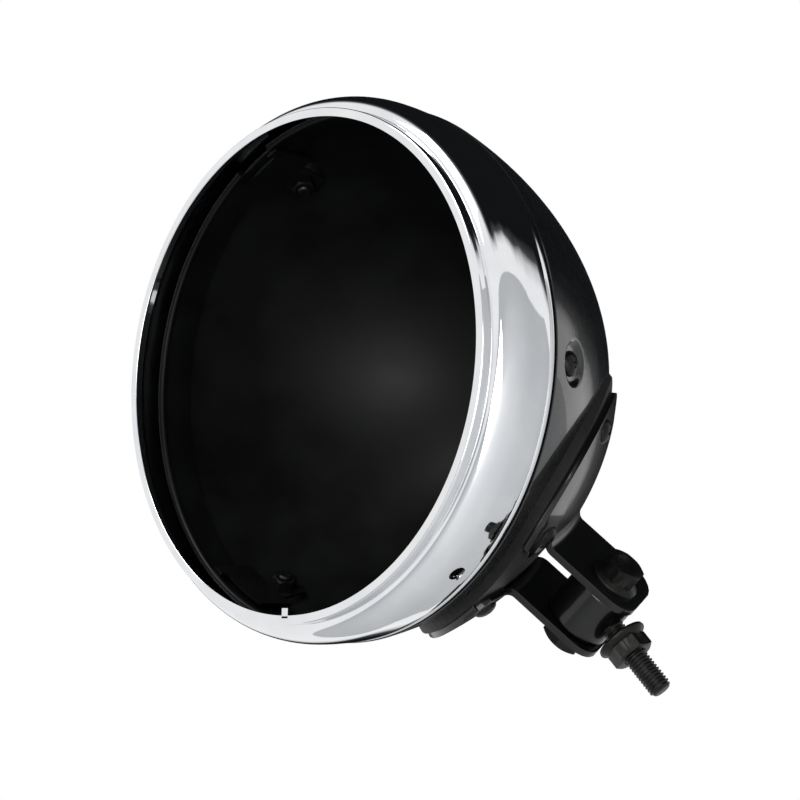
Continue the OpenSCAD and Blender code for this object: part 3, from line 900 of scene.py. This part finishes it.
# The tilt bolt through the ears, with its washer and nut on the left
AT_HEAD = across_ears(EAR_OUT)
AT_WASHER = across_ears(-EAR_OUT - TILT_WASHER_H)
AT_NUT = across_ears(-EAR_OUT - TILT_WASHER_H - TILT_NUT_H)
SHANK_LENGTH = 2 * EAR_OUT + TILT_WASHER_H + TILT_NUT_H
steel("tilt_bolt_head", flanged_hex(TILT_HEAD_H), AT_HEAD, ["tilt_bolt"])
steel("tilt_bolt_shank", shank(STUD_D, SHANK_LENGTH), AT_HEAD, [])
flat = washer(TILT_WASHER_D, TILT_WASHER_H, TILT_WASHER_BORE)
steel("tilt_washer_ring", flat, AT_WASHER, ["tilt_washer"])
steel("tilt_nut_hex", nut(TILT_NUT_FLATS, TILT_NUT_H, NUT_BORE), AT_NUT, ["tilt_nut"])

# The knuckle that the lamp tilts on, with its stud and nut
AT_KNUCKLE = ON_STEM @ raised(NUT_DROP) @ ALONG_BOLT
forging = knuckle_body()
rod = threaded(STUD_D, STUD_LENGTH)
piece("knuckle_forging", forging, AT_KNUCKLE, "knuckle_body", POWDER, ["knuckle"], 60)
steel("stud_thread", rod, ON_STEM @ raised(STUD_TOP), ["stud"], "knuckle_body", 60)
UNDER_NUT = ON_STEM @ Matrix.Rotation(math.pi, 4, "X")
steel("stud_nut_flanged", flanged_hex(STUD_NUT_H, NUT_BORE), UNDER_NUT, ["stud_nut"], "knuckle_body")

# The pieces that keep their own shape
for name, material in (
    ("mount_pad", RUBBER),
    ("wire_grommet", RUBBER),
    ("ring_tab", POWDER),
    ("clip_top", INSIDE),
    ("clip_left", INSIDE),
    ("clip_right", INSIDE),
):
    frame["nodes"][name].data.materials.clear()
    frame["nodes"][name].data.materials.append(material)


# Stage: pale floor, soft light and the camera

FLOOR_HALF = 6
FLOOR_HEIGHT = -0.7


def stage():
    bm = bmesh.new()
    bmesh.ops.create_grid(bm, x_segments=1, y_segments=1, size=FLOOR_HALF)
    bmesh.ops.translate(bm, vec=(0, 0, FLOOR_HEIGHT), verts=bm.verts)
    mesh = bpy.data.meshes.new("floor")
    bm.to_mesh(mesh)
    bm.free()
    material, tree, shader, coords = finish("pale_floor")
    set_shader(shader, Roughness=0.7, Specular_IOR_Level=0.0)
    tone = noise(tree, coords, size_mm=300)
    colour = ramp(tree, tone, [(0.3, "#f8f8f8"), (0.7, "#fbfbfb")])
    tree.links.new(colour, shader.inputs["Base Color"])
    mesh.materials.append(material)
    floor = bpy.data.objects.new("floor", mesh)
    bpy.context.scene.collection.objects.link(floor)


def soft_box(name, place, aim, size, watts):
    light = bpy.data.lights.new(name, "AREA")
    light.shape = "RECTANGLE"
    light.size = size
    light.size_y = size
    light.energy = watts
    made = bpy.data.objects.new(name, light)
    made.location = place
    made.rotation_euler = (Vector(aim) - Vector(place)).to_track_quat("-Z", "Y").to_euler()
    bpy.context.scene.collection.objects.link(made)


def fraction(tree, value, start, stop):
    """Maps a value from start..stop to 0..1."""
    inputs = {"From Min": start, "From Max": stop}
    return add(tree, "ShaderNodeMapRange", inputs=inputs, links={"Value": value}).outputs["Result"]


def maths(tree, operation, links, inputs=None):
    return add(tree, "ShaderNodeMath", {"operation": operation}, inputs, links).outputs[0]


def background(tree, strength, inputs=None, links=None):
    inputs = {"Strength": strength} | (inputs or {})
    return add(tree, "ShaderNodeBackground", inputs=inputs, links=links).outputs[0]


def mix(tree, factor, first, second):
    return add(tree, "ShaderNodeMixShader", links={0: factor, 1: first, 2: second}).outputs[0]


def world():
    """White behind the object and soft light on it. Reflections find it dark high at the right rear."""
    made = bpy.data.worlds.new("studio")
    bpy.context.scene.world = made
    made.use_nodes = True
    tree = made.node_tree
    tree.nodes.clear()
    path = add(tree, "ShaderNodeLightPath").outputs
    seen = maths(tree, "MAXIMUM", {0: path["Is Camera Ray"], 1: path["Is Transmission Ray"]})
    toward = add(tree, "ShaderNodeTexCoord").outputs["Generated"]
    clouds = add(
        tree, "ShaderNodeTexNoise", inputs={"Scale": 2.6, "Detail": 4.0}, links={"Vector": toward}
    ).outputs["Fac"]
    height = add(tree, "ShaderNodeSeparateXYZ", links={"Vector": toward}).outputs["Z"]
    uneven = maths(tree, "MULTIPLY_ADD", {0: clouds, 2: height}, {1: 0.25})
    right_rear = (0.6, 1.0, 0.0)
    away = add(
        tree,
        "ShaderNodeVectorMath",
        {"operation": "DOT_PRODUCT"},
        inputs={1: right_rear},
        links={0: toward},
    ).outputs["Value"]
    above = fraction(tree, uneven, start=0.16, stop=0.34)
    behind = fraction(tree, away, start=-0.1, stop=0.25)
    dark = maths(tree, "MULTIPLY", {0: above, 1: behind})
    studio = ramp(tree, dark, [(0.0, "#ffffff"), (0.3, "#d8d8d8"), (0.6, "#46484a"), (1.0, "#131517")])
    white = background(tree, 1.0, inputs={"Color": linear("#ffffff")})
    mirrored = background(tree, 1.0, links={"Color": studio})
    soft = background(tree, 0.7, inputs={"Color": linear("#e8eaec")})
    lit = mix(tree, path["Is Glossy Ray"], soft, mirrored)
    add(tree, "ShaderNodeOutputWorld", links={"Surface": mix(tree, seen, lit, white)})


def camera():
    """The photo's view, by its three axes and its place."""
    right = Vector((0.54881, 0.70256, -0.45301))
    down = Vector((-0.70714, 0.10116, -0.69980))
    ahead = Vector((-0.44582, 0.70440, 0.55233))
    place = (0.31675, -0.53697, -0.27417)
    data = bpy.data.cameras.new("photo_view")
    data.lens = 90
    data.sensor_width = 36
    data.clip_start = 0.01
    data.clip_end = 30
    made = bpy.data.objects.new("photo_view", data)
    turn = Matrix((right, -down, -ahead)).transposed()
    made.matrix_world = Matrix.Translation(place) @ turn.to_4x4()
    bpy.context.scene.collection.objects.link(made)
    bpy.context.scene.camera = made


stage()
soft_box("key_light", place=(0.7, -1.0, 1.0), aim=(0, 0, 0.1), size=0.9, watts=14)
soft_box("low_light", place=(0.45, -0.9, -0.5), aim=(0, 0, 0.05), size=0.7, watts=7)
world()
camera()

bpy.context.scene.view_settings.view_transform = "Standard"
